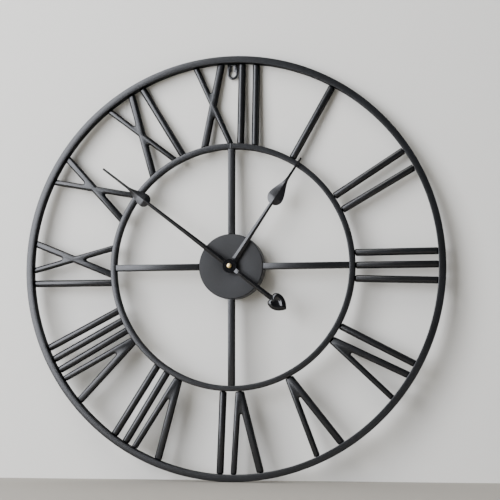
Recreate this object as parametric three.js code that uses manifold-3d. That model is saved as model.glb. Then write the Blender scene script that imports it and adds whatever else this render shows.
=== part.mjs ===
// A skeleton wall clock: two steel rings, Roman numerals of pressed steel strokes between them,
// four spokes, a hub can with a quartz movement in it, and two spade hands.
// Millimetres. The dial faces -Y, +Z is up and +X is to the right as seen from the front.
// The origin is the hang point: the top of the hanger's slot, on the plane of the ring's back.

import * as THREE from "three";
import { mergeVertices } from "three/addons/utils/BufferGeometryUtils.js";
import Module from "manifold-3d";

// ---- driving dimensions ---------------------------------------------------------------------

const OUTER_RING = { outside: 300, inside: 290.3, front: -14, back: 0, edge: 0.8 };
const INNER_RING = { outside: 174.8, inside: 166.9, front: -14, back: -2, edge: 0.8 };
const SPOKE = { width: 8.8, front: -14, back: -2, edge: 0.8 };
const HUB_CAN = { radius: 46, front: -14, back: 8, wall: 1.2, edge: 1.6, rim: 5 };
const HANGER = { width: 15, thickness: 2, holeRadius: 5, holeHeight: 275.6, slotWidth: 3.6, slotTop: 288 };

const STROKE = { thick: 9.6, thin: 7.8, front: -9, back: -1, edge: 2 };
const V_WEB_END = 207.5; // how far from the dial's centre the solid foot of a V reaches

const TOUCH_GAP = 0.3; // pieces that are welded or pressed together stay this far apart
const RING_STEPS = 96;
const ROUND_STEPS = 48;
const SMALL_STEPS = 24;

const MINUTE_ANGLE = THREE.MathUtils.degToRad(307.55); // clockwise from twelve
const HOUR_ANGLE = THREE.MathUtils.degToRad(33.9);
const MINUTE_HAND = { front: -23.4, back: -22.2, ridge: -25.2, slope: 0.2, bore: 1.75, boss: 10 };
const HOUR_HAND = { front: -20.2, back: -19.0, ridge: -20.2, slope: 0.2, bore: 2.65, boss: 9 };
const MINUTE_BLADE = {
  shaftFoot: 3.9,
  shaftTop: 2.3,
  spadeFoot: 147,
  spadeWide: 156,
  spadeHalf: 9.7,
  needleFoot: 188,
  needleHalf: 1.8,
  tipHalf: 1.5,
  tip: 232,
};
const HOUR_BLADE = {
  shaftFoot: 4.4,
  shaftTop: 2.6,
  spadeFoot: 104,
  spadeWide: 115,
  spadeHalf: 11.5,
  needleFoot: 150,
  needleHalf: 1.9,
  tipHalf: 1.4,
  tip: 181,
};
const TAIL = { length: 82, footHalf: 2.8, endHalf: 3.8 };
const HAND_SHEET = 0.9; // thickness of the folded sheet
const FOOT_SHARES = [0.08, 0.25, 0.5, 0.75, 1]; // stations on the spade's round foot
const TAPER_SHARES = [0.1, 0.22, 0.36, 0.5, 0.64, 0.78, 0.9, 1]; // and from its widest to the needle
const TAPER_POWER = 0.92; // under 1, the spade narrows early
const CUT_DEPTH = -40; // bores are cut well past the front
const FOLD = { start: 10, full: 16, fades: 66, gone: 72 }; // mm from the boss's centre
const MINUTE_NUT = { radius: 3.5, bore: 1.8, front: -28.2, seat: -23.7, cap: 2, face: 0.9, shoulder: 1.1 };
const HEART = { thickness: 4.2, edge: 1.4 };

const CASE = { half: 28, front: -12.3, split: -0.2, back: 3.9, wall: 1.2 };
const BAY_TOP = -10.6; // the rib between the gear train and the battery bay
const BATTERY = { radius: 7.1, length: 50.5, y: -3.6, z: -18.6 };
const BUSH = { radius: 3.9, bore: 2.65, flange: 6, front: -18.4 };
const BUSH_HOLE = 4.3;

// Gear train: module and teeth. Ratios follow from the teeth.
const TRAIN_MODULE = { centre: 0.25, third: 0.25 * 36 / 34, seconds: 0.2, intermediate: 0.18 };
const MOTION_MODULE = 0.35;
const TEETH = { centre: 64, thirdPinion: 8, third: 60, secondsPinion: 8, seconds: 60 };
const FAST_TEETH = { intermediatePinion: 10, intermediate: 60, rotorPinion: 12 };
const MOTION_TEETH = { cannon: 15, minute: 45, minutePinion: 12, hour: 48 };

// ---- finishes -------------------------------------------------------------------------------

const FINISHES = {
  black_powder_coat: { color: 0x1b1c1e, roughness: 0.5, metalness: 0.3 },
  black_gloss_lacquer: { color: 0x0c0c0e, roughness: 0.2, metalness: 0.2 },
  brass: { color: 0xc8a04a, roughness: 0.28, metalness: 1.0 },
  zinc_steel: { color: 0xb4b7ba, roughness: 0.35, metalness: 1.0 },
  black_case_plastic: { color: 0x161617, roughness: 0.55, metalness: 0.0 },
  white_gear_plastic: { color: 0xe9e6dc, roughness: 0.45, metalness: 0.0 },
  magnet: { color: 0x3b3c40, roughness: 0.4, metalness: 0.9 },
  copper_winding: { color: 0xb56a3a, roughness: 0.4, metalness: 0.8 },
  green_circuit_board: { color: 0x1f5a34, roughness: 0.4, metalness: 0.0 },
  battery_label: { color: 0x2c3f63, roughness: 0.35, metalness: 0.1 },
};

// ---- turning shapes into closed solids ------------------------------------------------------

const wasm = await Module();
wasm.setup();

function pointsOnly(geometry) {
  const bare = geometry.index ? geometry.toNonIndexed() : geometry.clone();
  bare.deleteAttribute("normal");
  bare.deleteAttribute("uv");
  return mergeVertices(bare, 1e-4);
}

function signedVolume(geometry) {
  const corner = [0, 1, 2].map(() => new THREE.Vector3());
  const { index, attributes } = geometry;
  let six = 0;
  for (let i = 0; i < index.count; i += 3) {
    corner.forEach((point, k) => point.fromBufferAttribute(attributes.position, index.getX(i + k)));
    six += corner[0].dot(corner[1].clone().cross(corner[2]));
  }
  return six / 6;
}

// The corners of triangles squashed to nothing, which a lathe leaves on its axis, are dropped.
function realTriangles(index) {
  const kept = [];
  for (let i = 0; i < index.count; i += 3) {
    const [a, b, c] = [index.getX(i), index.getX(i + 1), index.getX(i + 2)];
    if (a !== b && b !== c && c !== a) kept.push(a, b, c);
  }
  return kept;
}

function toSolid(geometry) {
  const merged = pointsOnly(geometry);
  merged.setIndex(realTriangles(merged.index));
  const triVerts = Uint32Array.from(merged.index.array);
  if (signedVolume(merged) < 0) triVerts.reverse();
  const vertProperties = merged.attributes.position.array;
  return new wasm.Manifold(new wasm.Mesh({ numProp: 3, vertProperties, triVerts }));
}

function toGeometry(solid) {
  const { vertProperties, triVerts } = solid.getMesh();
  const geometry = new THREE.BufferGeometry();
  geometry.setAttribute("position", new THREE.BufferAttribute(vertProperties, 3));
  geometry.setIndex(new THREE.BufferAttribute(triVerts, 1));
  geometry.computeVertexNormals();
  return geometry;
}

function joined(...solids) {
  return solids.reduce((whole, piece) => whole.add(piece));
}

// A flat shape, drawn as the front view shows it, made as thick as from back to front.
function plate(shape, back, front, edge = 0, curveSegments = 8) {
  const thickness = back - front;
  const bevel = edge > 0;
  const geometry = new THREE.ExtrudeGeometry(shape, {
    depth: thickness - 2 * edge,
    bevelEnabled: bevel,
    bevelThickness: edge,
    bevelSize: edge,
    bevelOffset: -edge,
    bevelSegments: 1,
    curveSegments,
  });
  geometry.translate(0, 0, edge);
  geometry.rotateX(Math.PI / 2);
  geometry.translate(0, back, 0);
  return toSolid(geometry);
}

// A profile of [radius, y] points turned round the Y axis.
function turned(profile, steps = ROUND_STEPS) {
  const points = profile.map(([radius, y]) => new THREE.Vector2(radius, y));
  return toSolid(new THREE.LatheGeometry(points, steps));
}

function polygon(corners) {
  return new THREE.Shape(corners.map(([x, z]) => new THREE.Vector2(x, z)));
}

function block([x0, y0, z0], [x1, y1, z1]) {
  const geometry = new THREE.BoxGeometry(x1 - x0, y1 - y0, z1 - z0);
  geometry.translate((x0 + x1) / 2, (y0 + y1) / 2, (z0 + z1) / 2);
  return toSolid(geometry);
}

function disc(radius, back, front, steps = SMALL_STEPS) {
  return turned([[0, front], [radius, front], [radius, back], [0, back]], steps);
}

function tube(outside, bore, back, front, steps = SMALL_STEPS) {
  return turned(
    [[bore, front], [outside, front], [outside, back], [bore, back], [bore, front]],
    steps,
  );
}

// ---- the clock as a scene graph -------------------------------------------------------------

const clock = new THREE.Group();
const dial = new THREE.Group(); // its origin is the dial's centre
dial.position.z = -HANGER.slotTop;
clock.add(dial);

function addPiece(name, solid, finish, { x = 0, z = 0, turn = 0 } = {}) {
  const mesh = new THREE.Mesh(toGeometry(solid), new THREE.MeshStandardMaterial(FINISHES[finish]));
  mesh.name = name;
  mesh.position.set(x, 0, z);
  mesh.rotation.y = turn;
  dial.add(mesh);
  return mesh;
}

// ---- welded frame ---------------------------------------------------------------------------

// A hoop of rectangular bar with its four long edges taken off.
function hoop({ outside, inside, front, back, edge }) {
  return turned([
    [inside + edge, front],
    [outside - edge, front],
    [outside, front + edge],
    [outside, back - edge],
    [outside - edge, back],
    [inside + edge, back],
    [inside, back - edge],
    [inside, front + edge],
    [inside + edge, front],
  ], RING_STEPS);
}

addPiece("outer_ring", hoop(OUTER_RING), "black_powder_coat");
addPiece("inner_ring", hoop(INNER_RING), "black_powder_coat");

function spoke() {
  const half = SPOKE.width / 2;
  const foot = HUB_CAN.radius + TOUCH_GAP;
  const head = INNER_RING.inside - 2 * TOUCH_GAP;
  const outline = polygon([[-half, foot], [half, foot], [half, head], [-half, head]]);
  return plate(outline, SPOKE.back, SPOKE.front, SPOKE.edge);
}

["top", "right", "bottom", "left"].forEach((side, quarter) => {
  addPiece(`spoke_${side}`, spoke(), "black_powder_coat", { turn: quarter * Math.PI / 2 });
});

function hubCan() {
  const { radius, front, back, wall, edge, rim } = HUB_CAN;
  return turned([
    [BUSH_HOLE, front],
    [radius - edge, front],
    [radius - edge * 0.3, front + edge * 0.3],
    [radius, front + edge],
    [radius, back],
    [radius - rim, back],
    [radius - rim, back - wall],
    [radius - wall, back - wall],
    [radius - wall, front + wall + edge],
    [radius - wall - edge, front + wall],
    [BUSH_HOLE, front + wall],
    [BUSH_HOLE, front],
  ]);
}

addPiece("hub_can", hubCan(), "black_powder_coat");

function hanger() {
  const { width, thickness, holeRadius, holeHeight, slotWidth, slotTop } = HANGER;
  const half = width / 2;
  const head = OUTER_RING.inside - 2 * TOUCH_GAP;
  const outline = new THREE.Shape();
  outline.moveTo(half, head);
  outline.lineTo(-half, head);
  outline.lineTo(-half, holeHeight);
  outline.absarc(0, holeHeight, half, Math.PI, 2 * Math.PI, false);
  outline.lineTo(half, head);
  const slot = slotWidth / 2;
  const mouth = Math.acos(slot / holeRadius);
  const keyhole = new THREE.Path();
  keyhole.absarc(0, holeHeight, holeRadius, mouth, Math.PI - mouth, true);
  keyhole.absarc(0, slotTop - slot, slot, Math.PI, 0, true);
  keyhole.closePath();
  outline.holes.push(keyhole);
  return plate(outline, 0, -thickness, 0, 16);
}

addPiece("keyhole_hanger", hanger(), "black_powder_coat");

// ---- numerals -------------------------------------------------------------------------------

// A stroke runs out from the inner ring to the outer ring. Its ends are given by how far they lie
// to the right of the numeral's own radius, at the inner ring and at the outer one.
const numeralBand = tube(
  OUTER_RING.inside - 2 * TOUCH_GAP,
  INNER_RING.outside + TOUCH_GAP,
  1,
  OUTER_RING.front,
  RING_STEPS,
);

function strokeBar(atInner, atOuter, width) {
  const inner = new THREE.Vector2(atInner, INNER_RING.outside);
  const outer = new THREE.Vector2(atOuter, OUTER_RING.inside);
  const along = outer.clone().sub(inner).normalize();
  const across = new THREE.Vector2(along.y, -along.x).multiplyScalar(width / 2);
  const spare = along.clone().multiplyScalar(8);
  inner.sub(spare);
  outer.add(spare);
  const corners = [
    inner.clone().sub(across),
    inner.clone().add(across),
    outer.clone().add(across),
    outer.clone().sub(across),
  ];
  return plate(new THREE.Shape(corners), STROKE.back, STROKE.front, STROKE.edge);
}

function straightStroke(atInner, atOuter) {
  return strokeBar(atInner, atOuter, STROKE.thick).intersect(numeralBand);
}

function crossedStrokes([thickIn, thickOut], [thinIn, thinOut]) {
  const thick = strokeBar(thickIn, thickOut, STROKE.thick);
  const thin = strokeBar(thinIn, thinOut, STROKE.thin);
  return joined(thick, thin).intersect(numeralBand);
}

// Both arms of a V start from one foot, and a flat web fills the fork up to V_WEB_END.
function forkedStrokes(foot, thickOut, thinOut) {
  const thick = strokeBar(foot - 1, thickOut, STROKE.thick);
  const thin = strokeBar(foot + 1.5, thinOut, STROKE.thin);
  const rise = (V_WEB_END - INNER_RING.outside) / (OUTER_RING.inside - INNER_RING.outside);
  const left = foot + (thickOut - foot) * rise;
  const right = foot + (thinOut - foot) * rise;
  const web = polygon([[foot, INNER_RING.outside - 4], [right, V_WEB_END], [left, V_WEB_END]]);
  const webPlate = plate(web, STROKE.back - 2, STROKE.front + 2);
  return joined(thick, thin, webPlate).intersect(numeralBand);
}

// For each hour, its pieces from left to right. A straight stroke is [inner, outer], a crossed
// pair is the thick bar then the thin one, and a fork is its foot, thick arm and thin arm.
const NUMERALS = {
  1: [["i", [-1.4, -2.2]]],
  2: [["i_left", [-11.4, -16.4]], ["i_right", [10.9, 11.4]]],
  3: [["i_left", [-17.6, -18.4]], ["i_middle", [0, 0]], ["i_right", [18.6, 22.2]]],
  4: [["i", [-3.4, -9.1]], ["v", [19.4, 8.7, 47.6]]],
  5: [["v", [8, -10.5, 28.4]]],
  6: [["v", [-10.6, -41, -2.2]], ["i", [12.7, 17.2]]],
  7: [["v", [-11.7, -44, -5.2]], ["i_left", [7, 9.9]], ["i_right", [24, 29]]],
  8: [
    ["v", [-17.8, -53.6, -14]],
    ["i_left", [-0.5, 0.5]],
    ["i_middle", [15, 18.1]],
    ["i_right", [30.4, 36]],
  ],
  9: [["i", [-20.4, -20.5]], ["x", [[-8.7, 38.1], [29.1, -1.3]]]],
  10: [["x", [[-19.5, 17.3], [19.5, -21.3]]]],
  11: [["x", [[-33, -3.8], [5.3, -43.4]]], ["i", [18.2, 15.1]]],
  12: [["x", [[-39.3, -16.1], [-2.2, -55]]], ["i_left", [11.9, 14.3]], ["i_right", [32.8, 34.9]]],
};

const MAKERS = {
  i: (ends) => straightStroke(...ends),
  v: (ends) => forkedStrokes(...ends),
  x: (ends) => crossedStrokes(...ends),
};

for (const [hour, pieces] of Object.entries(NUMERALS)) {
  for (const [letter, ends] of pieces) {
    const solid = MAKERS[letter[0]](ends);
    const turn = THREE.MathUtils.degToRad(30 * hour);
    addPiece(`numeral_${hour}_${letter}`, solid, "black_powder_coat", { turn });
  }
}

// ---- gears ----------------------------------------------------------------------------------

// Teeth are narrow, pointed flats, with room to turn whatever the phase.
function gearOutline(teeth, module, phase) {
  const pitchRadius = module * teeth / 2;
  const corners = [];
  for (let tooth = 0; tooth < teeth; tooth += 1) {
    for (const [share, height] of [[-0.22, -1.2], [-0.07, 0.75], [0.07, 0.75], [0.22, -1.2]]) {
      const angle = phase + 2 * Math.PI * (tooth + share) / teeth;
      const radius = pitchRadius + height * module;
      corners.push([radius * Math.cos(angle), radius * Math.sin(angle)]);
    }
  }
  return polygon(corners);
}

function gear(teeth, module, phase, back, front) {
  return plate(gearOutline(teeth, module, phase), back, front);
}

// The phase of a gear at the far end of the line from a gear whose own phase is known, so that a
// tooth of one faces a gap of the other.
function meshedPhase(direction, phase, teeth, otherTeeth) {
  const pitch = 2 * Math.PI / teeth;
  const otherPitch = 2 * Math.PI / otherTeeth;
  const offset = (direction - phase) / pitch;
  return direction + Math.PI - otherPitch * (0.5 - offset);
}

function centreDistance(teeth, otherTeeth, module) {
  return module * (teeth + otherTeeth) / 2;
}

function stepFrom({ x, z }, direction, distance) {
  return { x: x + distance * Math.cos(direction), z: z + distance * Math.sin(direction) };
}

const CENTRE = { x: 0, z: 0 };
const TO_THIRD = Math.PI / 4;
const TO_MINUTE_WHEEL = 3 * Math.PI / 4;
const TO_INTERMEDIATE = THREE.MathUtils.degToRad(-25);
const TO_ROTOR = THREE.MathUtils.degToRad(-5);

const THIRD = stepFrom(
  CENTRE,
  TO_THIRD,
  centreDistance(TEETH.centre, TEETH.thirdPinion, TRAIN_MODULE.centre),
);
const MINUTE_WHEEL = stepFrom(
  CENTRE,
  TO_MINUTE_WHEEL,
  centreDistance(MOTION_TEETH.cannon, MOTION_TEETH.minute, MOTION_MODULE),
);
const INTERMEDIATE = stepFrom(
  CENTRE,
  TO_INTERMEDIATE,
  centreDistance(TEETH.seconds, FAST_TEETH.intermediatePinion, TRAIN_MODULE.seconds),
);
const ROTOR = stepFrom(
  INTERMEDIATE,
  TO_ROTOR,
  centreDistance(FAST_TEETH.intermediate, FAST_TEETH.rotorPinion, TRAIN_MODULE.intermediate),
);

const MINUTE_ARBOR_RADIUS = 1.6;
const FINE_ARBOR_RADIUS = 0.5;

function centreWheel() {
  return joined(
    disc(MINUTE_ARBOR_RADIUS, -4.1, -25.5),
    gear(TEETH.centre, TRAIN_MODULE.centre, 0, -4.8, -5.6),
    gear(MOTION_TEETH.cannon, MOTION_MODULE, 0, -5.5, -8.0),
  );
}

function thirdWheel() {
  const phase = meshedPhase(TO_THIRD, 0, TEETH.centre, TEETH.thirdPinion);
  return joined(
    disc(FINE_ARBOR_RADIUS, 0.3, -7.6, 12),
    gear(TEETH.thirdPinion, TRAIN_MODULE.centre, phase, -2.5, -6.0),
    gear(TEETH.third, TRAIN_MODULE.third, 0, -2.1, -2.9),
  );
}

function secondsWheel() {
  const phase = meshedPhase(TO_THIRD + Math.PI, 0, TEETH.third, TEETH.secondsPinion);
  return joined(
    disc(FINE_ARBOR_RADIUS, 1.2, -3.6, 12),
    gear(TEETH.secondsPinion, TRAIN_MODULE.third, phase, -0.9, -3.3),
    gear(TEETH.seconds, TRAIN_MODULE.seconds, 0, -0.6, -1.2),
  );
}

function intermediateWheel() {
  const { intermediatePinion, intermediate } = FAST_TEETH;
  const phase = meshedPhase(TO_INTERMEDIATE, 0, TEETH.seconds, intermediatePinion);
  return joined(
    disc(FINE_ARBOR_RADIUS, 1.8, -3.2, 12),
    gear(intermediatePinion, TRAIN_MODULE.seconds, phase, 0.6, -1.6),
    gear(intermediate, TRAIN_MODULE.intermediate, 0, 0.9, 0.3),
  );
}

function rotor() {
  const { intermediate, rotorPinion } = FAST_TEETH;
  const phase = meshedPhase(TO_ROTOR, 0, intermediate, rotorPinion);
  return joined(
    disc(FINE_ARBOR_RADIUS, 1.9, -6.2, 12),
    gear(rotorPinion, TRAIN_MODULE.intermediate, phase, 1.2, -2.5),
    disc(2.5, -2.3, -5.3),
  );
}

// The setting arbor runs out through the back cover to the knob.
const MINUTE_WHEEL_PHASE = meshedPhase(TO_MINUTE_WHEEL, 0, MOTION_TEETH.cannon, MOTION_TEETH.minute);

function minuteWheel() {
  return joined(
    disc(0.9, 4.0, -10.2, 16),
    gear(MOTION_TEETH.minutePinion, MOTION_MODULE, 0, -7.5, -9.6),
    gear(MOTION_TEETH.minute, MOTION_MODULE, MINUTE_WHEEL_PHASE, -7.1, -7.9),
  );
}

function hourWheel() {
  const phase = meshedPhase(
    TO_MINUTE_WHEEL + Math.PI,
    0,
    MOTION_TEETH.minutePinion,
    MOTION_TEETH.hour,
  );
  const bore = 1.8;
  return joined(
    disc(2.5, -8.5, -21.3),
    gear(MOTION_TEETH.hour, MOTION_MODULE, phase, -8.5, -9.3),
  ).subtract(disc(bore, 0, -30));
}

addPiece("centre_wheel", centreWheel(), "white_gear_plastic", CENTRE);
addPiece("third_wheel", thirdWheel(), "white_gear_plastic", THIRD);
addPiece("seconds_wheel", secondsWheel(), "white_gear_plastic", CENTRE);
addPiece("intermediate_wheel", intermediateWheel(), "white_gear_plastic", INTERMEDIATE);
addPiece("rotor", rotor(), "magnet", ROTOR);
addPiece("minute_wheel", minuteWheel(), "white_gear_plastic", MINUTE_WHEEL);
addPiece("hour_wheel", hourWheel(), "white_gear_plastic", CENTRE);

function settingKnob() {
  const waist = disc(4.5, 6.9, 4.6, SMALL_STEPS);
  return waist.subtract(disc(1.0, 5.6, 4.0, 16));
}

addPiece("setting_knob", settingKnob(), "black_case_plastic", MINUTE_WHEEL);

// ---- movement: case, drive and battery ------------------------------------------------------

function caseFront() {
  const { half, front, split, wall } = CASE;
  const inner = half - wall;
  return block([-half, front, -half], [half, split, half])
    .subtract(block([-inner, front + wall, BAY_TOP + 1], [inner, 1, inner]))
    .subtract(block([-inner, front + wall, -inner], [inner, 1, BAY_TOP]))
    .subtract(disc(BUSH_HOLE, 0, front - 1));
}

function caseBack() {
  const { half, split, back, wall } = CASE;
  const inner = half - wall;
  const knobHole = disc(1.4, back + 1, 0, 16).translate([MINUTE_WHEEL.x, 0, MINUTE_WHEEL.z]);
  return block([-half, split + TOUCH_GAP, -half], [half, back, half])
    .subtract(block([-inner, -1, BAY_TOP + 1], [inner, back - wall, inner]))
    .subtract(block([-26, -1, -26.4], [26, back + 1, BAY_TOP - 0.3]))
    .subtract(knobHole);
}

addPiece("case_front", caseFront(), "black_case_plastic");
addPiece("case_back", caseBack(), "black_case_plastic");

function threadedBush() {
  const { radius, bore, flange, front } = BUSH;
  const seat = CASE.front + CASE.wall + TOUCH_GAP;
  return turned([
    [bore, front],
    [radius - 0.4, front],
    [radius, front + 0.4],
    [radius, seat],
    [flange, seat],
    [flange, seat + 1],
    [bore, seat + 1],
    [bore, front],
  ], SMALL_STEPS);
}

addPiece("threaded_bush", threadedBush(), "brass");
addPiece("washer", tube(7.5, BUSH_HOLE, -14.3, -15.1), "zinc_steel");

function hexNut() {
  const corner = 11 / Math.sqrt(3);
  return disc(corner, -15.4, -17.6, 6).subtract(disc(BUSH.radius + 0.25, 0, -30));
}

addPiece("hex_nut", hexNut(), "brass");

// A flat steel stator: a round eye for the rotor, and two arms to the ends of the coil.
function stator() {
  const outline = polygon([
    [8.4, -8.4],
    [25.4, -8.4],
    [25.4, -4.4],
    [17, 0.6],
    [16, 20],
    [25.4, 20],
    [25.4, 24.5],
    [11.5, 24.5],
    [11.5, 2],
    [8.4, 0.4],
  ]);
  const eye = disc(3.2, 0, -10).translate([ROTOR.x, 0, ROTOR.z]);
  return plate(outline, -3.4, -4.2).subtract(eye);
}

addPiece("stator", stator(), "zinc_steel");

// The coil's bobbin stands upright beside the rotor, in front of the stator's arms.
function coil() {
  const [low, high] = [-5.5, 22];
  const flange = 1.2;
  const spool = turned([
    [0, low],
    [3.0, low],
    [3.0, low + flange],
    [2.6, low + flange],
    [2.6, high - flange],
    [3.0, high - flange],
    [3.0, high],
    [0, high],
  ], SMALL_STEPS);
  return spool.rotate([90, 0, 0]).translate([21.6, -7.8, 0]);
}

addPiece("coil", coil(), "copper_winding");

function circuitBoard() {
  const board = block([-26.2, -10.6, -8], [-17, -9.6, 23]);
  const chip = disc(3, -8.4, -10, 16).translate([-21.5, 0, 8]);
  return joined(board, chip);
}

addPiece("circuit_board", circuitBoard(), "green_circuit_board");

function contact(side) {
  const outer = side * 26.4;
  const inner = side * 25.9;
  const low = [Math.min(outer, inner), -10, -25.6];
  const high = [Math.max(outer, inner), -0.4, -11.6];
  return block(low, high);
}

addPiece("contact_positive", contact(1), "zinc_steel");
addPiece("contact_negative", contact(-1), "zinc_steel");

function battery() {
  const { radius, length, y, z } = BATTERY;
  const half = length / 2;
  const nub = 1.3;
  const cell = turned([
    [0, -half],
    [radius - 0.6, -half],
    [radius, -half + 0.6],
    [radius, half - nub - 0.8],
    [radius - 0.8, half - nub],
    [2.75, half - nub],
    [2.75, half],
    [0, half],
  ], SMALL_STEPS);
  return cell.rotate([0, 0, -90]).translate([0, y, z]);
}

addPiece("battery", battery(), "battery_label");

// ---- hands ----------------------------------------------------------------------------------

function between(start, end, share) {
  return start + (end - start) * share;
}

// The stations of a blade, each [place along the hand, half-width]: a tapered shaft, a spade with
// a round foot, and a needle.
function bladeStations(blade) {
  const { shaftFoot, shaftTop, spadeFoot, spadeWide, spadeHalf } = blade;
  const { needleFoot, needleHalf, tip, tipHalf } = blade;
  const shaft = [0, FOLD.start, FOLD.full, spadeFoot]
    .map((place) => [place, between(shaftFoot, shaftTop, place / spadeFoot)]);
  const foot = FOOT_SHARES.map((share) => {
    const round = spadeHalf * Math.sqrt(1 - (1 - share) ** 2);
    return [between(spadeFoot, spadeWide, share), Math.max(shaftTop, round)];
  });
  const taper = TAPER_SHARES.map((share) => {
    const wave = 0.5 + 0.5 * Math.cos(Math.PI * share ** TAPER_POWER);
    return [between(spadeWide, needleFoot, share), between(needleHalf, spadeHalf, wave)];
  });
  return [...shaft, ...foot, ...taper, [tip, tipHalf]];
}

function tailStations() {
  return [-TAIL.length, -FOLD.gone, -FOLD.fades, -FOLD.full, -FOLD.start, 0]
    .map((place) => [place, between(TAIL.footHalf, TAIL.endHalf, -place / TAIL.length)]);
}

// How far the fold has risen at a place along the hand: none at the boss and under the heart.
function foldShare(place) {
  const away = Math.abs(place);
  const rise = THREE.MathUtils.clamp((away - FOLD.start) / (FOLD.full - FOLD.start), 0, 1);
  if (place > 0) return rise;
  return Math.min(rise, THREE.MathUtils.clamp((FOLD.gone - away) / (FOLD.gone - FOLD.fades), 0, 1));
}

// A blade of sheet, folded along its middle: both halves slope back from the ridge.
function foldedBlade(stations, { front, ridge, slope }) {
  const corners = [];
  for (const [place, half] of stations) {
    const share = foldShare(place);
    const middle = between(front, ridge, share);
    const edge = middle + slope * half * share;
    for (const depth of [0, HAND_SHEET]) {
      corners.push(-half, edge + depth, place, 0, middle + depth, place, half, edge + depth, place);
    }
  }
  const index = [];
  const quad = (a, b, c, d) => index.push(a, b, c, a, c, d);
  const loop = [0, 1, 2, 5, 4, 3]; // round the six corners of a station
  const last = loop.length * (stations.length - 1);
  for (let base = 0; base < last; base += loop.length) {
    loop.forEach((corner, k) => {
      const next = loop[(k + 1) % loop.length];
      const ahead = base + loop.length;
      quad(base + corner, base + next, ahead + next, ahead + corner);
    });
  }
  quad(3, 4, 1, 0);
  quad(4, 5, 2, 1);
  quad(last, last + 1, last + 4, last + 3);
  quad(last + 1, last + 2, last + 5, last + 4);
  const geometry = new THREE.BufferGeometry();
  geometry.setAttribute("position", new THREE.Float32BufferAttribute(corners, 3));
  geometry.setIndex(index);
  return toSolid(geometry);
}

function hand(shape, ...blades) {
  const { front, back, bore, boss } = shape;
  const sheets = blades.map((stations) => foldedBlade(stations, shape));
  return joined(disc(boss, back, front, ROUND_STEPS), ...sheets)
    .subtract(disc(bore, 0, CUT_DEPTH));
}

const minuteHand = hand(MINUTE_HAND, bladeStations(MINUTE_BLADE), tailStations());
const hourHand = hand(HOUR_HAND, bladeStations(HOUR_BLADE));

addPiece("minute_hand", minuteHand, "black_gloss_lacquer", { turn: MINUTE_ANGLE });
addPiece("hour_hand", hourHand, "black_gloss_lacquer", { turn: HOUR_ANGLE });

// A cast heart on the end of the tail, its point away from the boss.
function counterweight() {
  const outline = new THREE.Shape();
  outline.moveTo(0, -78.5);
  outline.bezierCurveTo(1.2, -75.2, 3.6, -73.6, 6, -73.8);
  outline.bezierCurveTo(9.8, -74.2, 11.8, -78.5, 11.8, -83);
  outline.bezierCurveTo(11.8, -90.5, 6.5, -97, 0, -101.3);
  outline.bezierCurveTo(-6.5, -97, -11.8, -90.5, -11.8, -83);
  outline.bezierCurveTo(-11.8, -78.5, -9.8, -74.2, -6, -73.8);
  outline.bezierCurveTo(-3.6, -73.6, -1.2, -75.2, 0, -78.5);
  const back = MINUTE_HAND.front - TOUCH_GAP;
  return plate(outline, back, back - HEART.thickness, HEART.edge, 6);
}

addPiece("counterweight", counterweight(), "black_gloss_lacquer", { turn: MINUTE_ANGLE });

function minuteNut() {
  const { radius, bore, front, seat, cap, face, shoulder } = MINUTE_NUT;
  return turned([
    [0, front],
    [radius - face, front],
    [radius - face / 3, front + shoulder / 2],
    [radius, front + shoulder],
    [radius, seat],
    [bore, seat],
    [bore, front + cap],
    [0, front + cap],
  ], SMALL_STEPS);
}

addPiece("minute_nut", minuteNut(), "brass");

export default clock;
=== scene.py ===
# %% [markdown]
# This script dresses a skeleton wall clock. The CAD frame gives every piece its place and size, and
# each cell below turns one of them into what a maker would hold: rolled rings, pressed numeral
# bars, a drawn hub can, folded hands and a moulded movement. All lengths are in metres. The dial
# faces -Y.

# %% Load the frame
import bpy
import bmesh
from math import acos, atan2, cos, degrees, hypot, pi, radians, sin, sqrt, tan
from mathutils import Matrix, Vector


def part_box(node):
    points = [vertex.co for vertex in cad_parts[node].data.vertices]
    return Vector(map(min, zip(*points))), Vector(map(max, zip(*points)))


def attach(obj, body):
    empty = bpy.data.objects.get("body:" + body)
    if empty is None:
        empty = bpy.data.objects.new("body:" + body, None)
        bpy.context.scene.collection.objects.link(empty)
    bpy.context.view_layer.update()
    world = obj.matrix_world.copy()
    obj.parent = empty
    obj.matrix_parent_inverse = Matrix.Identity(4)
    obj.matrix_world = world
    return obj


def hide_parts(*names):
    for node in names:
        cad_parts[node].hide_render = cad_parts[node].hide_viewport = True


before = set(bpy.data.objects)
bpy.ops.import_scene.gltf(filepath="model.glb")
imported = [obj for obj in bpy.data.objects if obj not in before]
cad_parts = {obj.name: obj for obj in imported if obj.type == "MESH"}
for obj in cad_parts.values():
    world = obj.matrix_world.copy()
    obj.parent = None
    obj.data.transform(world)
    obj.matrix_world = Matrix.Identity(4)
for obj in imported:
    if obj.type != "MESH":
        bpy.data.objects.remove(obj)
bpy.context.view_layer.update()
MM = 0.001

# %% [markdown]
# Every place is worked out from the frame. The hub can is round and sits at the dial's centre, so
# its box gives the axis that the rings, the numerals and the hands share.

# %% The dial's centre and the main planes
can_low, can_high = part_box("hub_can")
ring_low, ring_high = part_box("outer_ring")
inner_low, inner_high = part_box("inner_ring")
stroke_low, stroke_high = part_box("numeral_1_i")
CENTRE = Vector(((can_low.x + can_high.x) / 2, 0, (can_low.z + can_high.z) / 2))
OUTER_RADIUS = (ring_high.x - ring_low.x) / 2
INNER_RADIUS = (inner_high.x - inner_low.x) / 2
CAN_RADIUS = (can_high.x - can_low.x) / 2
RING_FACE, INNER_FACE = 9.7 * MM, 7.9 * MM
OUTER_BORE = OUTER_RADIUS - RING_FACE
INNER_BORE = INNER_RADIUS - INNER_FACE
print("dial centre", tuple(round(c, 4) for c in CENTRE), "outer radius", round(OUTER_RADIUS, 4))

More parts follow.
